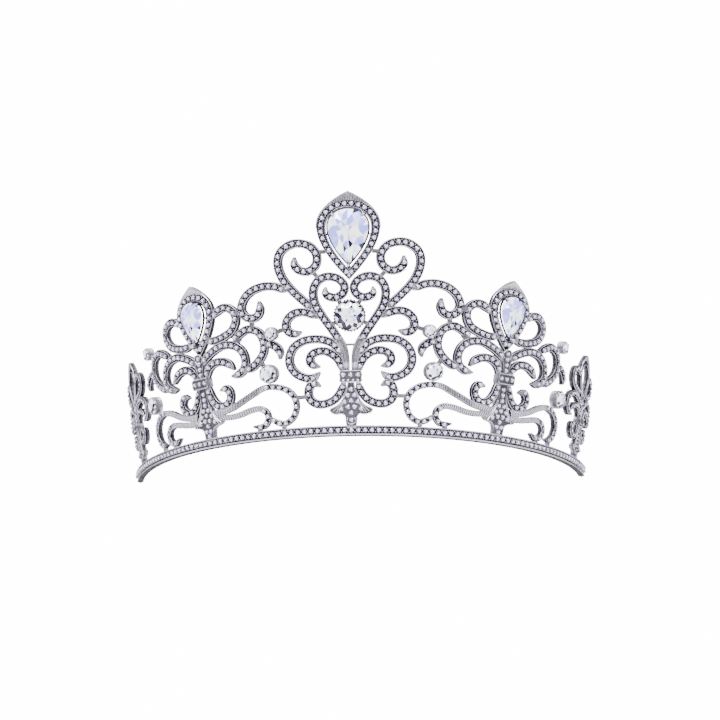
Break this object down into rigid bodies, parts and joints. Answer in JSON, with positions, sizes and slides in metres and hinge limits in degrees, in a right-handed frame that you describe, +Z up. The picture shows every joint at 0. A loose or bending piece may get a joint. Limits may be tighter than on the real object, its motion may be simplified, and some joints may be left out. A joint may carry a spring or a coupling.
{
  "type": "bridal tiara",
  "caption": "Bridal tiara: an open stone-set band that carries pierced scrollwork rising to a pear-stone crest, with pear-stone side motifs and pin loops at its ends.",
  "frame": {"origin": "centre of the head circle, on the plane of the band's bottom face", "axes": "+Z up, -Y towards the front of the tiara, +X to the right of someone who looks at its front"},
  "size_m": [0.1484, 0.0839, 0.067],
  "materials": {
    "silver_metal": "bright plated metal with dark oxidised recesses",
    "crystal": "clear faceted stones with a pale lavender cast"
  },
  "bodies": {
    "root": {"base_band": "silver_metal", "band_pave": "crystal", "pin_loops": "silver_metal", "crest_frame": "silver_metal", "crest_basket": "silver_metal", "crest_gem": "crystal", "midline_pave": "crystal", "heart_collet": "silver_metal", "heart_gem": "crystal", "fleur_collar": "silver_metal", "fleur_foot": "silver_metal", "left_upper_scroll": "silver_metal", "right_upper_scroll": "silver_metal", "left_heart_scroll": "silver_metal", "right_heart_scroll": "silver_metal", "left_outer_arm": "silver_metal", "right_outer_arm": "silver_metal", "left_mid_hook": "silver_metal", "right_mid_hook": "silver_metal", "left_fleur_petal": "silver_metal", "right_fleur_petal": "silver_metal", "left_fleur_curl": "silver_metal", "right_fleur_curl": "silver_metal", "left_lower_petal": "silver_metal", "right_lower_petal": "silver_metal", "left_centre_pave": "crystal", "right_centre_pave": "crystal", "left_side_frame": "silver_metal", "right_side_frame": "silver_metal", "left_side_basket": "silver_metal", "right_side_basket": "silver_metal", "left_side_gem": "crystal", "right_side_gem": "crystal", "left_side_loops": "silver_metal", "right_side_loops": "silver_metal", "left_side_petals": "silver_metal", "right_side_petals": "silver_metal", "left_side_curls": "silver_metal", "right_side_curls": "silver_metal", "left_side_collar": "silver_metal", "right_side_collar": "silver_metal", "left_side_stem": "silver_metal", "right_side_stem": "silver_metal", "left_side_wings": "silver_metal", "right_side_wings": "silver_metal", "wing_barbs": "silver_metal", "left_ring_arms": "silver_metal", "right_ring_arms": "silver_metal", "left_band_arms": "silver_metal", "right_band_arms": "silver_metal", "left_side_pave": "crystal", "right_side_pave": "crystal", "connector_collets": "silver_metal", "connector_gems": "crystal", "bridges": "silver_metal", "rear_frames": "silver_metal", "rear_loops": "silver_metal", "rear_scrolls": "silver_metal", "rear_stems": "silver_metal", "rear_pave": "crystal"}
  },
  "joints": []
}
